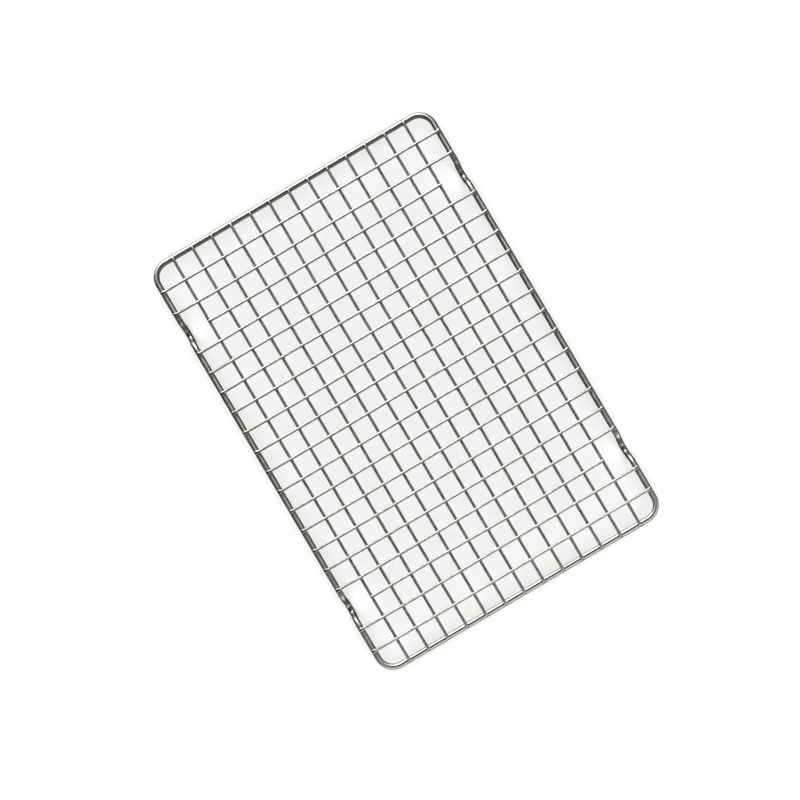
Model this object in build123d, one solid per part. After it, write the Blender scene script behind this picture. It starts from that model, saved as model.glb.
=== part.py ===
from build123d import *
import os
from math import cos, radians, tan

# A wire cooling rack: one heavy frame wire bent into a rounded rectangle with four feet,
# thin long wires welded across its end rails, and thin cross wires welded on top of those.
# Millimetres. X runs along the rack, Y across it, and Z is up from the surface it stands on.
# The origin is on that surface, below the middle of the rack.

# Whole rack
RACK_LENGTH = 300.0
RACK_WIDTH = 206.5
RACK_HEIGHT = 19.0

# Wires
FRAME_WIRE_DIAMETER = 3.8
GRID_WIRE_DIAMETER = 1.8
WELD_SET_DOWN = 0.15  # how far a wire sinks into the one below it at a resistance weld
WIRE_TIP_CHAMFER = 0.2

# Frame, with bend radii along the wire's centre line
CORNER_BEND = 10.6
FOOT_SLOPE = 75.0  # degrees between a foot's legs and the rail
FOOT_TOP_BEND = 6.5
FOOT_BOTTOM_BEND = 5.8

# Grid
LONG_WIRE_PITCH = 14.15
LONG_WIRES_EACH_SIDE = 6  # on each side of the middle one
LONG_WIRE_TIP_GAP = 1.0  # from a wire's tip to the outside of the frame
CROSS_WIRE_PITCH = 14.5
CROSS_WIRES_EACH_SIDE = 8  # at the regular pitch, before the last one at each end
LAST_CROSS_WIRE_PITCH = 16.0
CROSS_WIRE_TIP_GAP = 0.5
FOOT_CROSS_WIRE = 7  # counted from the middle, the short cross wire level with the feet

# A full cross wire steps down from the last long wire to the side rail
STEP_START = 3.5  # outwards from the last long wire
STEP_END = 3.0  # inwards from the middle of the side rail
STEP_BEND = 20.0

FRAME_RADIUS = FRAME_WIRE_DIAMETER / 2
GRID_RADIUS = GRID_WIRE_DIAMETER / 2

# Heights of the wires' centre lines
CROSS_WIRE_Z = RACK_HEIGHT - GRID_RADIUS
LONG_WIRE_Z = CROSS_WIRE_Z - GRID_WIRE_DIAMETER + WELD_SET_DOWN
RAIL_Z = LONG_WIRE_Z - GRID_RADIUS - FRAME_RADIUS + WELD_SET_DOWN
FOOT_Z = FRAME_RADIUS

# Places in plan
END_RAIL_X = RACK_LENGTH / 2 - FRAME_RADIUS
SIDE_RAIL_Y = RACK_WIDTH / 2 - FRAME_RADIUS
FOOT_X = FOOT_CROSS_WIRE * CROSS_WIRE_PITCH
LAST_LONG_WIRE_Y = LONG_WIRES_EACH_SIDE * LONG_WIRE_PITCH


def foot_corners(x, y, direction):
    """The three corners of one foot's U before bending, in order along X in the given direction."""
    point_below_foot = FOOT_BOTTOM_BEND / cos(radians(FOOT_SLOPE)) - FOOT_BOTTOM_BEND
    point_z = FOOT_Z - point_below_foot
    half_width = (RAIL_Z - point_z) / tan(radians(FOOT_SLOPE))
    return [
        (x - direction * half_width, y, RAIL_Z),
        (x, y, point_z),
        (x + direction * half_width, y, RAIL_Z),
    ]


def side_corners(y, direction):
    """The corners along one side rail: an end of the rack, two feet and the other end."""
    return [
        (-direction * END_RAIL_X, y, RAIL_Z),
        *foot_corners(-direction * FOOT_X, y, direction),
        *foot_corners(direction * FOOT_X, y, direction),
        (direction * END_RAIL_X, y, RAIL_Z),
    ]


def wire_along(path, radius):
    """A round wire whose centre line is the path."""
    section = Plane(origin=path @ 0, z_dir=path % 0) * Circle(radius)
    return sweep(section, path=path)


def trimmed(wire):
    """The wire with its two cut tips slightly broken."""
    return chamfer(wire.faces().filter_by(GeomType.PLANE).edges(), WIRE_TIP_CHAMFER)


def frame_wire():
    """The closed loop of heavy wire: two end rails, two side rails and four feet."""
    corners = [*side_corners(-SIDE_RAIL_Y, 1), *side_corners(SIDE_RAIL_Y, -1)]
    foot_bends = [FOOT_TOP_BEND, FOOT_BOTTOM_BEND, FOOT_TOP_BEND]
    side_bends = [CORNER_BEND, *foot_bends, *foot_bends, CORNER_BEND]
    path = FilletPolyline(*corners, radius=[*side_bends, *side_bends], close=True)
    return wire_along(path, FRAME_RADIUS)


def long_wire(y):
    """A straight wire from end rail to end rail."""
    tip = RACK_LENGTH / 2 - LONG_WIRE_TIP_GAP
    path = Line((-tip, y, LONG_WIRE_Z), (tip, y, LONG_WIRE_Z))
    return trimmed(wire_along(path, GRID_RADIUS))


def cross_wire(x):
    """A wire over the long wires, stepped down at its ends onto the side rails."""
    tip = RACK_WIDTH / 2 - CROSS_WIRE_TIP_GAP
    step_low = SIDE_RAIL_Y - STEP_END
    step_high = LAST_LONG_WIRE_Y + STEP_START
    path = FilletPolyline(
        (x, -tip, LONG_WIRE_Z),
        (x, -step_low, LONG_WIRE_Z),
        (x, -step_high, CROSS_WIRE_Z),
        (x, step_high, CROSS_WIRE_Z),
        (x, step_low, LONG_WIRE_Z),
        (x, tip, LONG_WIRE_Z),
        radius=STEP_BEND,
    )
    return trimmed(wire_along(path, GRID_RADIUS))


def short_cross_wire(x):
    """A straight wire that ends on the last long wires, so that it leaves the feet open."""
    tip = LAST_LONG_WIRE_Y + GRID_RADIUS
    path = Line((x, -tip, CROSS_WIRE_Z), (x, tip, CROSS_WIRE_Z))
    return trimmed(wire_along(path, GRID_RADIUS))


def cross_wire_places():
    """Each cross wire's X, with whether it is one of the short ones."""
    regular = range(-CROSS_WIRES_EACH_SIDE, CROSS_WIRES_EACH_SIDE + 1)
    last = CROSS_WIRES_EACH_SIDE * CROSS_WIRE_PITCH + LAST_CROSS_WIRE_PITCH
    inner = [(i * CROSS_WIRE_PITCH, abs(i) == FOOT_CROSS_WIRE) for i in regular]
    return [(-last, False), *inner, (last, False)]


def make_rack():
    """Every wire by name. Each is notched where it is welded onto the wires below it."""
    frame = frame_wire()
    sides = range(-LONG_WIRES_EACH_SIDE, LONG_WIRES_EACH_SIDE + 1)
    long_wires = [long_wire(i * LONG_WIRE_PITCH) - frame for i in sides]
    wires = {"frame_wire": frame}
    for number, wire in enumerate(long_wires, start=1):
        wires[f"long_wire_{number:02d}"] = wire
    for number, (x, is_short) in enumerate(cross_wire_places(), start=1):
        wire = short_cross_wire(x) if is_short else cross_wire(x)
        wires[f"cross_wire_{number:02d}"] = wire - [frame, *long_wires]
    return wires


os.makedirs("parts", exist_ok=True)
for name, wire in make_rack().items():
    wire.label = name
    export_step(wire, f"parts/{name}.step")
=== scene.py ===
from math import cos, pi, radians, sin, tan

import bpy
import numpy as np
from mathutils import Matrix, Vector


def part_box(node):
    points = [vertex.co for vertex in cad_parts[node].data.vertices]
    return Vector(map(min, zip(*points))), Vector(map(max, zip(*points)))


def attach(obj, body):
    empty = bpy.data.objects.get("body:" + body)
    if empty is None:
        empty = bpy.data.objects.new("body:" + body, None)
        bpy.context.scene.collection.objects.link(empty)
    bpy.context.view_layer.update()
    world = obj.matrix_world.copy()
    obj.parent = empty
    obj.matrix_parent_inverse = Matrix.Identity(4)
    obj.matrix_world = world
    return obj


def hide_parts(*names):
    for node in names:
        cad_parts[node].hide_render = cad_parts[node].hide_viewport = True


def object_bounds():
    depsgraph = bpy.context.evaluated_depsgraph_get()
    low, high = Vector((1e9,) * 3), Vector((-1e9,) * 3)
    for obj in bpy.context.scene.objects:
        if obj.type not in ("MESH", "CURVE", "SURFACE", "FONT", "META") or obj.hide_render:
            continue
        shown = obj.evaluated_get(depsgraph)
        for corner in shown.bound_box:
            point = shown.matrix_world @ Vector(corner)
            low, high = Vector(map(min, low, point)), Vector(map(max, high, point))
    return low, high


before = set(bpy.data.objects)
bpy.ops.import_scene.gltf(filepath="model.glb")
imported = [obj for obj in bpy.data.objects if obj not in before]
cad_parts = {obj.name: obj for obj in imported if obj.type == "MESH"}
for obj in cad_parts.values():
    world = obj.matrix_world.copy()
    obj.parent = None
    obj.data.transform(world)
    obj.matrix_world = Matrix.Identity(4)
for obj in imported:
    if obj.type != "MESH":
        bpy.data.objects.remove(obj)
cad_low, cad_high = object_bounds()

# Metres. X runs along the rack, Y across it, and Z is up from the floor under its feet.
MM = 0.001
UP = np.array([0.0, 0.0, 1.0])

# Wire sections and bends, as in the CAD
FRAME_RADIUS = 1.9 * MM
GRID_RADIUS = 0.9 * MM
WELD_SET_DOWN = 0.15 * MM
CORNER_BEND = 10.6 * MM
FOOT_SLOPE = radians(75)
FOOT_TOP_BEND = 6.5 * MM
FOOT_BOTTOM_BEND = 5.8 * MM
STEP_BEND = 20 * MM
STEP_START = 3.5 * MM  # from the last long wire to where a cross wire turns down
STEP_END = 3.0 * MM  # from where it turns level again to the side rail

# How finely a wire is drawn
FRAME_SIDES = 40
GRID_SIDES = 20
RUN_SPACING = 1.6 * MM
BEND_SPACING = 0.5 * MM
FEWEST_BEND_STEPS = 6


# ---------------------------------------------------------------- paths


def unit(vectors):
    """The vectors at length one."""
    return vectors / np.linalg.norm(vectors, axis=-1, keepdims=True)


def run_points(start, end):
    """Points after start and before end, evenly spaced on a straight run."""
    count = max(1, round(np.linalg.norm(end - start) / RUN_SPACING))
    return [start + (end - start) * i / count for i in range(1, count)]


def bend_points(before, corner, after, radius):
    """Points round one bend of the given radius, from tangent point to tangent point."""
    into = unit(before - corner)
    out = unit(after - corner)
    half = np.arccos(np.clip(into @ out, -1, 1)) / 2
    centre = corner + unit(into + out) * radius / sin(half)
    first = corner + into * radius / tan(half) - centre
    turn = pi - 2 * half
    count = max(FEWEST_BEND_STEPS, round(turn * radius / BEND_SPACING))
    angles = [turn * i / count for i in range(count + 1)]
    return [centre + first * cos(a) - into * radius * sin(a) for a in angles]


def bent_path(corners, bends, closed=False):
    """Points along a wire bent at its corners, closer together on the bends."""
    corners = [np.array(c, float) for c in corners]
    bent = range(len(corners)) if closed else range(1, len(corners) - 1)
    stretches = []
    for bend, i in zip(bends, bent):
        after = corners[(i + 1) % len(corners)]
        stretches.append(bend_points(corners[i - 1], corners[i], after, bend))
    if closed:
        stretches.append([stretches[0][0]])
    else:
        stretches = [[corners[0]], *stretches, [corners[-1]]]
    points = list(stretches[0])
    for stretch in stretches[1:]:
        points += run_points(points[-1], stretch[0]) + list(stretch)
    return np.array(points[:-1] if closed else points)


def smooth_step(x, low, high):
    """0 below low, 1 above high, and smooth between them."""
    t = np.clip((x - low) / (high - low), 0, 1)
    return t * t * (3 - 2 * t)


def near(x, places, reach):
    """1 at each of the places, falling smoothly to 0 a few times reach away."""
    return sum(np.exp(-(((x - p) / reach) ** 2)) for p in places)


# ---------------------------------------------------------------- meshes

ROUND = 2.0  # the squareness of a round section
TIP_ROUNDING = 0.42 * MM
TIP_RINGS = (25, 50, 75)  # degrees round a tip's rounded edge, one for each ring


def new_object(name, verts, faces):
    """A smooth-shaded mesh object."""
    mesh = bpy.data.meshes.new(name)
    mesh.from_pydata(verts.tolist(), [], faces)
    mesh.polygons.foreach_set("use_smooth", [True] * len(mesh.polygons))
    mesh.update()
    obj = bpy.data.objects.new(name, mesh)
    bpy.context.scene.collection.objects.link(obj)
    return obj


def section_points(sides, width, height, squareness):
    """Points round each ring's section as sideways and upward offsets: an ellipse, or boxier."""
    angles = 2 * pi * np.arange(sides) / sides
    power = (ROUND / squareness)[:, None]
    across = np.sign(np.cos(angles)) * np.abs(np.cos(angles)) ** power
    upward = np.sign(np.sin(angles)) * np.abs(np.sin(angles)) ** power
    return width[:, None] * across, height[:, None] * upward


def path_sides(path, closed):
    """The sideways and upward directions at each point of a path that is nowhere vertical."""
    if closed:
        along = np.roll(path, -1, 0) - np.roll(path, 1, 0)
    else:
        along = np.gradient(path, axis=0)
    along = unit(along)
    side = unit(np.cross(UP, along))
    return side, np.cross(along, side)


def with_tips(path, width, height, squareness):
    """The rings of an open wire with those of its two rounded tips added, each inside the last."""
    for _ in (0, 1):
        outward = unit(path[-1] - path[-2]) * TIP_ROUNDING
        tip_width, tip_height = width[-1], height[-1]
        start = path[-1] - outward
        path[-1] = start
        for angle in TIP_RINGS:
            inset = TIP_ROUNDING * (1 - cos(radians(angle)))
            path = np.vstack([path, start + outward * sin(radians(angle))])
            width = np.append(width, tip_width - inset)
            height = np.append(height, tip_height - inset)
            squareness = np.append(squareness, squareness[-1])
        path, width, height, squareness = path[::-1], width[::-1], height[::-1], squareness[::-1]
        path = path.copy()
    return path, width, height, squareness


def tube(name, path, width, height, squareness, worked, sides=GRID_SIDES, closed=False):
    """A wire along a path, with its half width, half height and squareness at each point."""
    side, upward = path_sides(path, closed)
    if not closed:
        count = len(TIP_RINGS)
        path, width, height, squareness = with_tips(path, width, height, squareness)
        pad = [(count, count), (0, 0)]
        side, upward = np.pad(side, pad, "edge"), np.pad(upward, pad, "edge")
        worked = np.pad(worked, count, "edge")
    x, y = section_points(sides, width, height, squareness)
    verts = path[:, None] + x[..., None] * side[:, None] + y[..., None] * upward[:, None]
    verts = verts.reshape(-1, 3)
    faces = ring_faces(len(path), sides, closed)
    if not closed:
        verts = np.vstack([verts, path[0], path[-1]])
        faces += cap_faces(len(path), sides)
    obj = new_object(name, verts, faces)
    add_grain(obj, path, x, y, closed)
    add_worked(obj, worked, sides)
    return obj


def ring_faces(rings, sides, closed):
    """Quads between each ring and the next."""
    faces = []
    for i in range(rings if closed else rings - 1):
        a, b = i * sides, (i + 1) % rings * sides
        faces += [(a + k, a + (k + 1) % sides, b + (k + 1) % sides, b + k) for k in range(sides)]
    return faces


def cap_faces(rings, sides):
    """A fan over each end of an open wire, round the two points after its rings."""
    first, last = rings * sides, rings * sides + 1
    end = (rings - 1) * sides
    return [
        face
        for k in range(sides)
        for face in ((first, (k + 1) % sides, k), (last, end + k, end + (k + 1) % sides))
    ]


def add_grain(obj, path, x, y, closed):
    """Stores coordinates in millimetres that follow the wire, for its marks and its sheen."""
    steps = np.linalg.norm(np.roll(path, -1, 0) - path, axis=1)
    along = np.concatenate([[0], np.cumsum(steps)]) / MM
    rings, sides = x.shape
    flat = np.broadcast_to(along[:rings, None], x.shape)
    grain = np.zeros((len(obj.data.vertices), 3))
    grain[: rings * sides] = np.stack([x / MM, y / MM, flat], -1).reshape(-1, 3)
    attribute = obj.data.attributes.new("grain", "FLOAT_VECTOR", "POINT")
    attribute.data.foreach_set("vector", grain.ravel())
    spans = rings if closed else rings - 1
    uv = np.zeros((len(obj.data.loops), 2))
    quads = uv[: spans * sides * 4].reshape(spans, sides, 4, 2)
    quads[..., :2, 0] = along[:spans, None, None]
    quads[..., 2:, 0] = along[1 : spans + 1, None, None]
    quads[..., 1] = np.arange(sides)[:, None] + np.array([0, 1, 1, 0])
    layer = obj.data.uv_layers.new(name="along_wire")
    layer.data.foreach_set("uv", uv.ravel())


def add_worked(obj, worked, sides):
    """Stores how much a tool has bent or pressed the wire, from 0 to 1, which burnishes it."""
    values = np.ones(len(obj.data.vertices))
    values[: len(worked) * sides] = np.repeat(worked, sides)
    attribute = obj.data.attributes.new("worked", "FLOAT", "POINT")
    attribute.data.foreach_set("value", values)


# ---------------------------------------------------------------- the CAD's places


def middle(name):
    """The middle of a CAD node's box."""
    low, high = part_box(name)
    return (low + high) / 2


FRAME_LOW, FRAME_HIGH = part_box("frame_wire")
RAIL_Z = FRAME_HIGH.z - FRAME_RADIUS
FOOT_Z = FRAME_LOW.z + FRAME_RADIUS
END_RAIL_X = FRAME_HIGH.x - FRAME_RADIUS
SIDE_RAIL_Y = FRAME_HIGH.y - FRAME_RADIUS

LONG_WIRES = sorted(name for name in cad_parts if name.startswith("long_wire"))
CROSS_WIRES = sorted(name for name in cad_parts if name.startswith("cross_wire"))
LONG_WIRE_Y = [middle(name).y for name in LONG_WIRES]
CROSS_WIRE_X = [middle(name).x for name in CROSS_WIRES]
LONG_WIRE_Z = middle(LONG_WIRES[0]).z
CROSS_WIRE_Z = cad_high.z - GRID_RADIUS
LAST_LONG_WIRE_Y = max(LONG_WIRE_Y)
SHORT_WIRES = [name for name in CROSS_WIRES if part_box(name)[1].y < SIDE_RAIL_Y - FRAME_RADIUS]
FOOT_X = max(middle(name).x for name in SHORT_WIRES)


# ---------------------------------------------------------------- frame wire

BUTT_WELD_X = 36 * MM
BUTT_WELD_UPSET = 0.09 * MM  # how far the squeezed metal stands out
BUTT_WELD_REACH = 0.55 * MM
BEND_THINNING = 0.015  # the share of its radius that the wire loses in its tightest bends
BEND_BLENDS = 8  # how often the thinning is averaged with its neighbours
FOOT_BURNISH_DEPTH = 0.9 * MM  # how far below the rail the feet are fully burnished


def foot_corners(x, y, direction):
    """The three corners of a foot's U before bending, in order along X in that direction."""
    point_z = FOOT_Z - (FOOT_BOTTOM_BEND / cos(FOOT_SLOPE) - FOOT_BOTTOM_BEND)
    half_width = (RAIL_Z - point_z) / tan(FOOT_SLOPE)
    return [
        (x - direction * half_width, y, RAIL_Z),
        (x, y, point_z),
        (x + direction * half_width, y, RAIL_Z),
    ]


def side_corners(y, direction):
    """The corners along one side rail: an end of the rack, two feet and the other end."""
    return [
        (-direction * END_RAIL_X, y, RAIL_Z),
        *foot_corners(-direction * FOOT_X, y, direction),
        *foot_corners(direction * FOOT_X, y, direction),
        (direction * END_RAIL_X, y, RAIL_Z),
    ]


def frame_path():
    """The centre line of the frame wire, from its butt weld round to it again."""
    foot = [FOOT_TOP_BEND, FOOT_BOTTOM_BEND, FOOT_TOP_BEND]
    side = [CORNER_BEND, *foot, *foot, CORNER_BEND]
    corners = side_corners(-SIDE_RAIL_Y, 1) + side_corners(SIDE_RAIL_Y, -1)
    path = bent_path(corners, side * 2, closed=True)
    weld = np.array([BUTT_WELD_X, -SIDE_RAIL_Y, RAIL_Z])
    nearest = np.argmin(np.linalg.norm(path - weld, axis=1))
    return np.roll(path, -nearest, 0)


def bend_thinning(path):
    """The share of its radius that a closed wire loses at each point, from how sharply it bends."""
    before, after = np.roll(path, 1, 0), np.roll(path, -1, 0)
    turn = np.linalg.norm(unit(after - path) - unit(path - before), axis=1)
    bend = turn / np.linalg.norm(after - path, axis=1)
    for _ in range(BEND_BLENDS):
        bend = (np.roll(bend, 1) + bend + np.roll(bend, -1)) / 3
    return BEND_THINNING * bend / bend.max()


def make_frame_wire():
    """The heavy closed wire, a little thinner in its bends and raised at its butt weld."""
    path = frame_path()
    upset = BUTT_WELD_UPSET * near(np.linalg.norm(path - path[0], axis=1), [0], BUTT_WELD_REACH)
    radius = FRAME_RADIUS * (1 - bend_thinning(path)) + upset
    squareness = np.full(len(path), ROUND)
    worked = smooth_step(RAIL_Z - path[:, 2], 0, FOOT_BURNISH_DEPTH)
    return tube(
        "frame_wire_drawn", path, radius, radius, squareness, worked, FRAME_SIDES, closed=True
    )


# ---------------------------------------------------------------- grid wires

WELD_REACH = 0.95 * MM
WELD_WIDENING = 0.05
WELD_FLATTENING = 0.05
BOW = 0.16 * MM  # the usual size of a wire's wander from straight
# How a weld's electrode leaves a tip: how much wider, how much thinner, and how far its top drops
END_RAIL_PRESS = (0.30, 0.30, 0.60 * MM)
SIDE_RAIL_PRESS = (0.45, 0.38, 0.75 * MM)
SHORT_PRESS = (0.20, 0.15, 0.30 * MM)
PRESS_REACH = 2.6 * MM  # how far inside the middle of the last weld the electrode starts
PRESS_SQUARENESS = 0.7  # how much squareness it adds at the tip
# Where the rings of a grid wire are, from each weld's middle and inwards from each tip
WELD_RINGS = np.array([-2.6, -1.7, -1.1, -0.55, 0, 0.55, 1.1, 1.7, 2.6]) * MM
TIP_PRESS_RINGS = np.arange(2, 9) * 0.45 * MM
RING_SPACING = 4.2 * MM
RING_GAP = 0.2 * MM  # the least that rings lie apart
LONG_WIRE_SEED = 100
CROSS_WIRE_SEED = 200


def ring_places(tip, welds):
    """Where a grid wire has its rings: close together at its welds and tips, sparse between."""
    at_welds = (np.array(welds)[:, None] + WELD_RINGS).ravel()
    at_tips = tip - TIP_PRESS_RINGS
    between = np.arange(-tip, tip, RING_SPACING)
    places = np.unique(np.concatenate([at_welds, at_tips, -at_tips, between]))
    places = places[np.abs(places) < tip - TIP_ROUNDING - RING_GAP]
    keep = np.concatenate([[True], np.diff(places) > RING_GAP])
    return np.concatenate([[-tip], places[keep], [tip]])


def bowed(places, length, random):
    """A gentle sideways wander along a wire, none at its ends."""
    phase = places / length * pi
    swing = random.normal(0, BOW, 3)
    return swing[0] * np.cos(phase) + swing[1] * np.sin(2 * phase) + swing[2] * np.cos(3 * phase) / 2


def pressed_tip(places, height, z, press_start, widening, thinning, drop):
    """Flattens both tips of a wire, more and more from where the weld's electrode starts."""
    tip = np.abs(places).max()
    into = np.clip((np.abs(places) - press_start) / (tip - press_start), 0, 1)
    press = into**2
    top = z + height - drop * press
    height = height * (1 - thinning * press)
    return 1 + widening * into, height, top - height, press


def grid_wire(name, horizontal, place, tip, z_of, welds, press_start, press, random):
    """One thin wire, along X or along Y, flattened at its welds and pressed down at its tips."""
    places = ring_places(tip, welds)
    weld = near(places, welds, WELD_REACH)
    width = GRID_RADIUS * (1 + WELD_WIDENING * weld)
    height = GRID_RADIUS * (1 - WELD_FLATTENING * weld)
    z = z_of(places) - GRID_RADIUS * WELD_FLATTENING * weld
    widen, height, z, pressed = pressed_tip(places, height, z, press_start, *press)
    sideways = place + bowed(places, 2 * tip, random)
    columns = [places, sideways, z] if horizontal else [sideways, places, z]
    squareness = ROUND + PRESS_SQUARENESS * pressed
    worked = np.clip(pressed + weld, 0, 1)
    return tube(name, np.stack(columns, -1), width * widen, height, squareness, worked)


def level(z):
    """The height of a wire that stays at z, as a function of the places along it."""
    return lambda places: np.full(len(places), z)


def step_down(places):
    """A full cross wire's height: over the long wires, then down onto the side rails."""
    high, low = LAST_LONG_WIRE_Y + STEP_START, SIDE_RAIL_Y - STEP_END
    corners = [
        (0, 0, CROSS_WIRE_Z),
        (0, high, CROSS_WIRE_Z),
        (0, low, LONG_WIRE_Z),
        (0, SIDE_RAIL_Y + 2 * FRAME_RADIUS, LONG_WIRE_Z),
    ]
    path = bent_path(corners, [STEP_BEND, STEP_BEND])
    return np.interp(np.abs(places), path[:, 1], path[:, 2])


def make_long_wires():
    """The thin wires along the rack, welded to the end rails and under every cross wire."""
    wires = {}
    for number, name in enumerate(LONG_WIRES):
        random = np.random.default_rng(LONG_WIRE_SEED + number)
        wires[name] = grid_wire(
            name + "_drawn", True, LONG_WIRE_Y[number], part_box(name)[1].x, level(LONG_WIRE_Z),
            CROSS_WIRE_X, END_RAIL_X - PRESS_REACH, END_RAIL_PRESS, random,
        )
    return wires


def make_cross_wires():
    """The thin wires across the rack, on top. Two of them stop short to leave the feet open."""
    wires = {}
    for number, name in enumerate(CROSS_WIRES):
        random = np.random.default_rng(CROSS_WIRE_SEED + number)
        if name in SHORT_WIRES:
            z_of, last_weld, press = level(CROSS_WIRE_Z), LAST_LONG_WIRE_Y, SHORT_PRESS
        else:
            z_of, last_weld, press = step_down, SIDE_RAIL_Y, SIDE_RAIL_PRESS
        wires[name] = grid_wire(
            name + "_drawn", False, CROSS_WIRE_X[number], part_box(name)[1].y, z_of,
            LONG_WIRE_Y, last_weld - PRESS_REACH, press, random,
        )
    return wires


# ---------------------------------------------------------------- welds

# Half a bead's size along X, Y and Z
GRID_BEAD = (1.6 * MM, 1.08 * MM, 0.42 * MM)
END_RAIL_BEAD = (1.25 * MM, 1.55 * MM, 0.42 * MM)
SIDE_RAIL_BEAD = (1.75 * MM, 1.25 * MM, 0.42 * MM)
BEAD_OVALITY = 0.05
BEAD_VARIATION = 0.03
BEAD_ROWS = 6
BEAD_COLUMNS = 14


def bead(centre, size, random):
    """One weld's squeezed-out metal: the points of a flat rounded lump, a little uneven."""
    rise = pi * np.arange(1, BEAD_ROWS) / BEAD_ROWS - pi / 2
    around = 2 * pi * np.arange(BEAD_COLUMNS) / BEAD_COLUMNS
    oval = BEAD_OVALITY * np.cos(2 * around + random.uniform(0, 2 * pi))
    reach = 1 + oval + random.normal(0, BEAD_VARIATION)
    x = np.cos(rise)[:, None] * np.cos(around) * reach * size[0]
    y = np.cos(rise)[:, None] * np.sin(around) * reach * size[1]
    z = np.sin(rise)[:, None] * np.ones(BEAD_COLUMNS) * size[2]
    rings = np.stack([x, y, z], -1).reshape(-1, 3)
    poles = np.array([[0, 0, -size[2]], [0, 0, size[2]]])
    return np.vstack([rings, poles]) + np.array(centre)


def bead_faces():
    """The faces of one bead."""
    rings = BEAD_ROWS - 1
    return ring_faces(rings, BEAD_COLUMNS, closed=False) + cap_faces(rings, BEAD_COLUMNS)


def make_beads(name, centres, size, seed):
    """All the welds of one kind, as one object of separate closed lumps."""
    random = np.random.default_rng(seed)
    points = [bead(centre, size, random) for centre in centres]
    per_bead = len(points[0])
    one = bead_faces()
    faces = [tuple(i * per_bead + v for v in face) for i in range(len(points)) for face in one]
    return new_object(name, np.vstack(points), faces)


def make_welds():
    """The welds of the grid, of the long wires' tips and of the cross wires' tips."""
    contact = (LONG_WIRE_Z + CROSS_WIRE_Z) / 2
    rail_top = RAIL_Z + FRAME_RADIUS - WELD_SET_DOWN
    crossings = [(x, y, contact) for x in CROSS_WIRE_X for y in LONG_WIRE_Y]
    ends = [(end * END_RAIL_X, y, rail_top) for end in (-1, 1) for y in LONG_WIRE_Y]
    full = [x for x, name in zip(CROSS_WIRE_X, CROSS_WIRES) if name not in SHORT_WIRES]
    sides = [(x, side * SIDE_RAIL_Y, rail_top) for side in (-1, 1) for x in full]
    return [
        make_beads("grid_welds", crossings, GRID_BEAD, seed=1),
        make_beads("end_rail_welds", ends, END_RAIL_BEAD, seed=2),
        make_beads("side_rail_welds", sides, SIDE_RAIL_BEAD, seed=3),
    ]


# ---------------------------------------------------------------- materials

SHEEN_STRETCH = 1.0  # straightening rolls leave marks round a wire, which spread its sheen along it
BURNISHED = 0.17  # roughness where a tool has bent or pressed the wire
LINE_STRETCH = 0.03  # how much slower the drawn lines change along a wire than across it
# Noise scales in waves to the metre
PLATING_SCALE = 260.0
PIT_SCALE = 5200.0
WELD_MOTTLE_SCALE = 900.0
FLOOR_SCALE = 40.0
# Bumps: how strong they are, and how deep
DRAWN_BUMP = (0.14, 0.02 * MM)
PITTED_BUMP = (0.08, 0.01 * MM)


def add_node(tree, kind, **values):
    """A shader node with its settings and its inputs' values."""
    made = tree.nodes.new(kind)
    for key, value in values.items():
        if key in made.inputs:
            made.inputs[key].default_value = value
        else:
            setattr(made, key, value)
    return made


def new_material(name):
    """A new material with its node tree and its shader."""
    material = bpy.data.materials.new(name)
    material.use_nodes = True
    tree = material.node_tree
    return material, tree, tree.nodes["Principled BSDF"]


def ramp(tree, source, stops):
    """A colour ramp on a value."""
    made = tree.nodes.new("ShaderNodeValToRGB")
    made.color_ramp.elements[0].position = stops[0][0]
    made.color_ramp.elements[0].color = (*stops[0][1], 1)
    made.color_ramp.elements[1].position = stops[-1][0]
    made.color_ramp.elements[1].color = (*stops[-1][1], 1)
    for position, colour in stops[1:-1]:
        made.color_ramp.elements.new(position).color = (*colour, 1)
    tree.links.new(source, made.inputs["Fac"])
    return made.outputs["Color"]


def noise(tree, source, scale, detail, roughness=0.5):
    """A noise texture over the given coordinates."""
    made = add_node(tree, "ShaderNodeTexNoise", Scale=scale, Detail=detail, Roughness=roughness)
    tree.links.new(source, made.inputs["Vector"])
    return made.outputs["Fac"]


def bump(tree, height, strength, depth):
    """A bump node on a height."""
    made = add_node(tree, "ShaderNodeBump", Strength=strength, Distance=depth)
    tree.links.new(height, made.inputs["Height"])
    return made


def grey(value):
    """A neutral colour."""
    return (value, value, value)


def drawn_lines(tree, scale):
    """Fine lines that run along the wire, as its drawing die leaves them."""
    grain = add_node(tree, "ShaderNodeAttribute", attribute_name="grain")
    stretched = add_node(tree, "ShaderNodeMapping", Scale=(1.0, 1.0, LINE_STRETCH))
    tree.links.new(grain.outputs["Vector"], stretched.inputs["Vector"])
    return noise(tree, stretched.outputs["Vector"], scale, detail=4.0, roughness=0.6)


def burnished_roughness(tree, lines, roughness):
    """Roughness that follows the drawn lines, and is low where a tool has worked the wire."""
    low, high = roughness
    rough = ramp(tree, lines, [(0.3, grey(low)), (0.75, grey(high))])
    worked = add_node(tree, "ShaderNodeAttribute", attribute_name="worked")
    burnished = add_node(tree, "ShaderNodeMix", data_type="FLOAT", B=BURNISHED)
    tree.links.new(worked.outputs["Fac"], burnished.inputs["Factor"])
    tree.links.new(rough, burnished.inputs["A"])
    return burnished.outputs["Result"]


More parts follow.
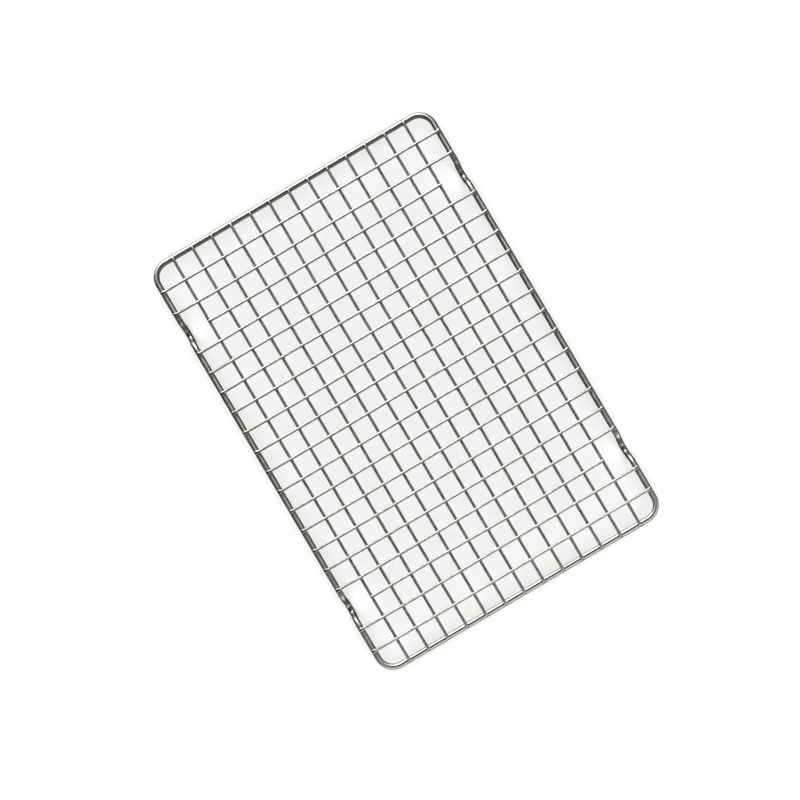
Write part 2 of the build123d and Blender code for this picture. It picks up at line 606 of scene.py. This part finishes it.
def wire_material(name, dark, light, roughness, line_scale):
    """Bright drawn and plated wire: fine lines along it, and slightly uneven plating."""
    material, tree, shader = new_material(name)
    shader.inputs["Metallic"].default_value = 1.0
    shader.inputs["Anisotropic"].default_value = SHEEN_STRETCH
    tangent = add_node(tree, "ShaderNodeTangent", direction_type="UV_MAP", uv_map="along_wire")
    tree.links.new(tangent.outputs["Tangent"], shader.inputs["Tangent"])
    place = add_node(tree, "ShaderNodeTexCoord").outputs["Object"]
    plating = noise(tree, place, PLATING_SCALE, detail=3.0, roughness=0.55)
    colour = ramp(tree, plating, [(0.3, dark), (0.7, light)])
    tree.links.new(colour, shader.inputs["Base Color"])
    lines = drawn_lines(tree, line_scale)
    tree.links.new(burnished_roughness(tree, lines, roughness), shader.inputs["Roughness"])
    drawn = bump(tree, lines, *DRAWN_BUMP)
    pitted = bump(tree, noise(tree, place, PIT_SCALE, detail=2.0), *PITTED_BUMP)
    tree.links.new(drawn.outputs["Normal"], pitted.inputs["Normal"])
    tree.links.new(pitted.outputs["Normal"], shader.inputs["Normal"])
    return material


def weld_material():
    """Metal squeezed out of a spot weld, coloured near-black as painted shade for the dark spot at
    each crossing.
    """
    material, tree, shader = new_material("weld_steel_painted_shade")
    shader.inputs["Metallic"].default_value = 1.0
    place = add_node(tree, "ShaderNodeTexCoord").outputs["Object"]
    weld_mottle = noise(tree, place, WELD_MOTTLE_SCALE, detail=3.0, roughness=0.6)
    # Both tones are far darker than the wire: painted shade at the crossings, mottled at random
    painted_shade_dark, painted_shade_light = (0.09, 0.082, 0.07), (0.17, 0.158, 0.14)
    tree.links.new(ramp(tree, weld_mottle, [(0.3, painted_shade_dark), (0.7, painted_shade_light)]), shader.inputs["Base Color"])
    rough = ramp(tree, weld_mottle, [(0.3, grey(0.42)), (0.7, grey(0.30))])
    tree.links.new(rough, shader.inputs["Roughness"])
    return material


def floor_material():
    """Plain pale studio floor."""
    material, tree, shader = new_material("pale_floor")
    shader.inputs["Specular IOR Level"].default_value = 0.0
    shader.inputs["Roughness"].default_value = 0.9
    place = add_node(tree, "ShaderNodeTexCoord").outputs["Object"]
    mottle = noise(tree, place, FLOOR_SCALE, detail=3.0)
    colour = ramp(tree, mottle, [(0.3, grey(0.88)), (0.7, grey(0.90))])
    tree.links.new(colour, shader.inputs["Base Color"])
    return material


# ---------------------------------------------------------------- studio

FLOOR_SIZE = 12.0
SHOT_DISTANCE = 1.75
SHOT_LENS = 124.3
SHOT_AIM = Vector((2.9 * MM, -6.3 * MM, 0))
SHOT_TURN = radians(149.5)  # the direction on the floor that is upwards in the picture
OVERHEAD_STRENGTH = 1.97
OVERHEAD_SPREAD = radians(62)
PALE_SKY = 0.95
PALE_SKY_STRENGTH = 0.75
BACKDROP_STRENGTH = 1.1
# How bright the room is that the metal mirrors, by how far towards +X a direction points
ROOM = [(-1.0, 1.3), (-0.90, 1.3), (-0.76, 0.05), (0.20, 0.04), (0.55, 0.11), (1.0, 0.11)]
ROOM_STRENGTH = 1.2


def make_floor():
    """A large pale floor under the feet, which the metal doesn't mirror."""
    half = FLOOR_SIZE / 2
    corners = np.array([(-half, -half, 0), (half, -half, 0), (half, half, 0), (-half, half, 0)])
    floor = new_object("floor", corners, [(0, 1, 2, 3)])
    floor.data.materials.append(floor_material())
    floor.visible_glossy = False


def make_camera():
    """Straight above the rack, turned so that its long side runs down to the right."""
    data = bpy.data.cameras.new("camera")
    data.lens = SHOT_LENS
    camera = bpy.data.objects.new("camera", data)
    camera.location = SHOT_AIM + Vector((0, 0, cad_high.z + SHOT_DISTANCE))
    camera.rotation_euler = (0, 0, SHOT_TURN - pi / 2)
    bpy.context.scene.collection.objects.link(camera)
    bpy.context.scene.camera = camera


def area_light(name, place, aim, size, power):
    """A rectangular soft light that points at a spot, and that only the metal shows."""
    data = bpy.data.lights.new(name, "AREA")
    data.shape = "RECTANGLE"
    data.size, data.size_y = size
    data.energy = power
    light = bpy.data.objects.new(name, data)
    light.location = place
    light.rotation_euler = (Vector(aim) - Vector(place)).to_track_quat("-Z", "Y").to_euler()
    light.visible_camera = False
    light.visible_diffuse = False
    bpy.context.scene.collection.objects.link(light)


def overhead_light():
    """Even light from a wide patch of sky straight overhead, which only the floor shows."""
    data = bpy.data.lights.new("overhead", "SUN")
    data.energy = OVERHEAD_STRENGTH
    data.angle = OVERHEAD_SPREAD
    light = bpy.data.objects.new("overhead", data)
    light.visible_camera = False
    light.visible_glossy = False
    bpy.context.scene.collection.objects.link(light)


def make_lights():
    """Large soft lights beside the rack for the metal, and even light for the floor."""
    area_light("key", place=(-1.39, 0.15, 0.79), aim=(0, 0, 0), size=(1.6, 0.75), power=29)
    area_light("ceiling", place=(-0.35, 0.7, 0.9), aim=(-0.35, 0, 0), size=(1.0, 0.7), power=0.9)
    area_light("reflector", place=(0.24, 0, 0.075), aim=(0, 0, 0.075), size=(0.9, 0.12), power=0.45)
    overhead_light()


def mirrored_room(tree):
    """The light of the room that the metal mirrors, bright on its -X side and dark above."""
    direction = add_node(tree, "ShaderNodeTexCoord")
    parts = add_node(tree, "ShaderNodeSeparateXYZ")
    tree.links.new(direction.outputs["Generated"], parts.inputs["Vector"])
    across = add_node(tree, "ShaderNodeMapRange")
    across.inputs["From Min"].default_value = -1.0
    tree.links.new(parts.outputs["X"], across.inputs["Value"])
    stops = [((x + 1) / 2, grey(brightness)) for x, brightness in ROOM]
    room = add_node(tree, "ShaderNodeBackground", Strength=ROOM_STRENGTH)
    tree.links.new(ramp(tree, across.outputs["Result"], stops), room.inputs["Color"])
    return room.outputs["Background"]


def mixed(tree, factor, first, second):
    """The first shader where the factor is 0, and the second where it is 1."""
    made = add_node(tree, "ShaderNodeMixShader")
    for source, socket in zip((factor, first, second), made.inputs):
        tree.links.new(source, socket)
    return made.outputs["Shader"]


def make_world():
    """A pale studio with a white backdrop, and the room that the metal mirrors."""
    world = bpy.data.worlds.new("studio")
    bpy.context.scene.world = world
    world.use_nodes = True
    tree = world.node_tree
    pale = tree.nodes["Background"]
    pale.inputs["Color"].default_value = (*grey(PALE_SKY), 1)
    pale.inputs["Strength"].default_value = PALE_SKY_STRENGTH
    backdrop = add_node(
        tree, "ShaderNodeBackground", Color=(*grey(1), 1), Strength=BACKDROP_STRENGTH
    )
    ray = add_node(tree, "ShaderNodeLightPath").outputs
    sky = mixed(tree, ray["Is Glossy Ray"], pale.outputs["Background"], mirrored_room(tree))
    seen = mixed(tree, ray["Is Camera Ray"], sky, backdrop.outputs["Background"])
    tree.links.new(seen, tree.nodes["World Output"].inputs["Surface"])


# ---------------------------------------------------------------- assembly


def finish_piece(piece, material):
    """Gives a piece its material and lets it ride on the rack's one body."""
    piece.data.materials.append(material)
    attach(piece, "root")


def make_rack():
    """Every wire in place of its CAD node, and the welds between them."""
    frame_steel = wire_material(
        "frame_wire_steel", dark=(0.52, 0.487, 0.425), light=(0.65, 0.61, 0.54),
        roughness=(0.25, 0.36), line_scale=3.0,
    )
    grid_steel = wire_material(
        "grid_wire_steel", dark=(0.455, 0.426, 0.385), light=(0.575, 0.54, 0.49),
        roughness=(0.22, 0.32), line_scale=6.0,
    )
    frame_wire = make_frame_wire()
    finish_piece(frame_wire, frame_steel)
    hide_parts("frame_wire")
    for name, piece in {**make_long_wires(), **make_cross_wires()}.items():
        finish_piece(piece, grid_steel)
        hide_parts(name)
    weld_steel_painted_shade = weld_material()
    for piece in make_welds():
        finish_piece(piece, weld_steel_painted_shade)


make_camera()
make_floor()
make_world()
make_lights()
make_rack()
bpy.context.scene.view_settings.view_transform = "Standard"
